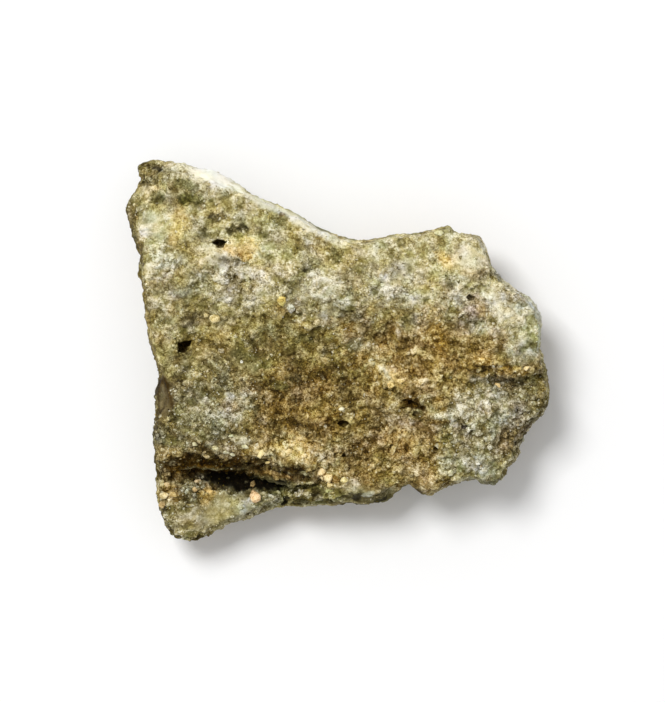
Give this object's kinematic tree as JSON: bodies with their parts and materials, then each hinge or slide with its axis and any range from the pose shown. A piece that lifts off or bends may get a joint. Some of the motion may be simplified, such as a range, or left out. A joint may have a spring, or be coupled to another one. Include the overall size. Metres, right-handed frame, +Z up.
{
  "type": "trinitite",
  "caption": "Flat, jagged piece of trinitite: desert sand fused to pale green glass, with a gently rolled sandy top, a deep groove under an overhanging brow, and a broken edge all round.",
  "frame": {"origin": "on the table, under the middle of the stone's box", "axes": "+X along the stone's length, towards its blunt right end; +Y towards the long slanting edge with the small knob; +Z up, out of the sandy top"},
  "size_m": [0.0424, 0.0384, 0.0108],
  "materials": {
    "fused_sand_glass": "rough sandy glass, pale olive green with ochre sand, frosted patches and dark bubbles"
  },
  "bodies": {
    "root": {"trinitite": "fused_sand_glass"}
  },
  "joints": []
}
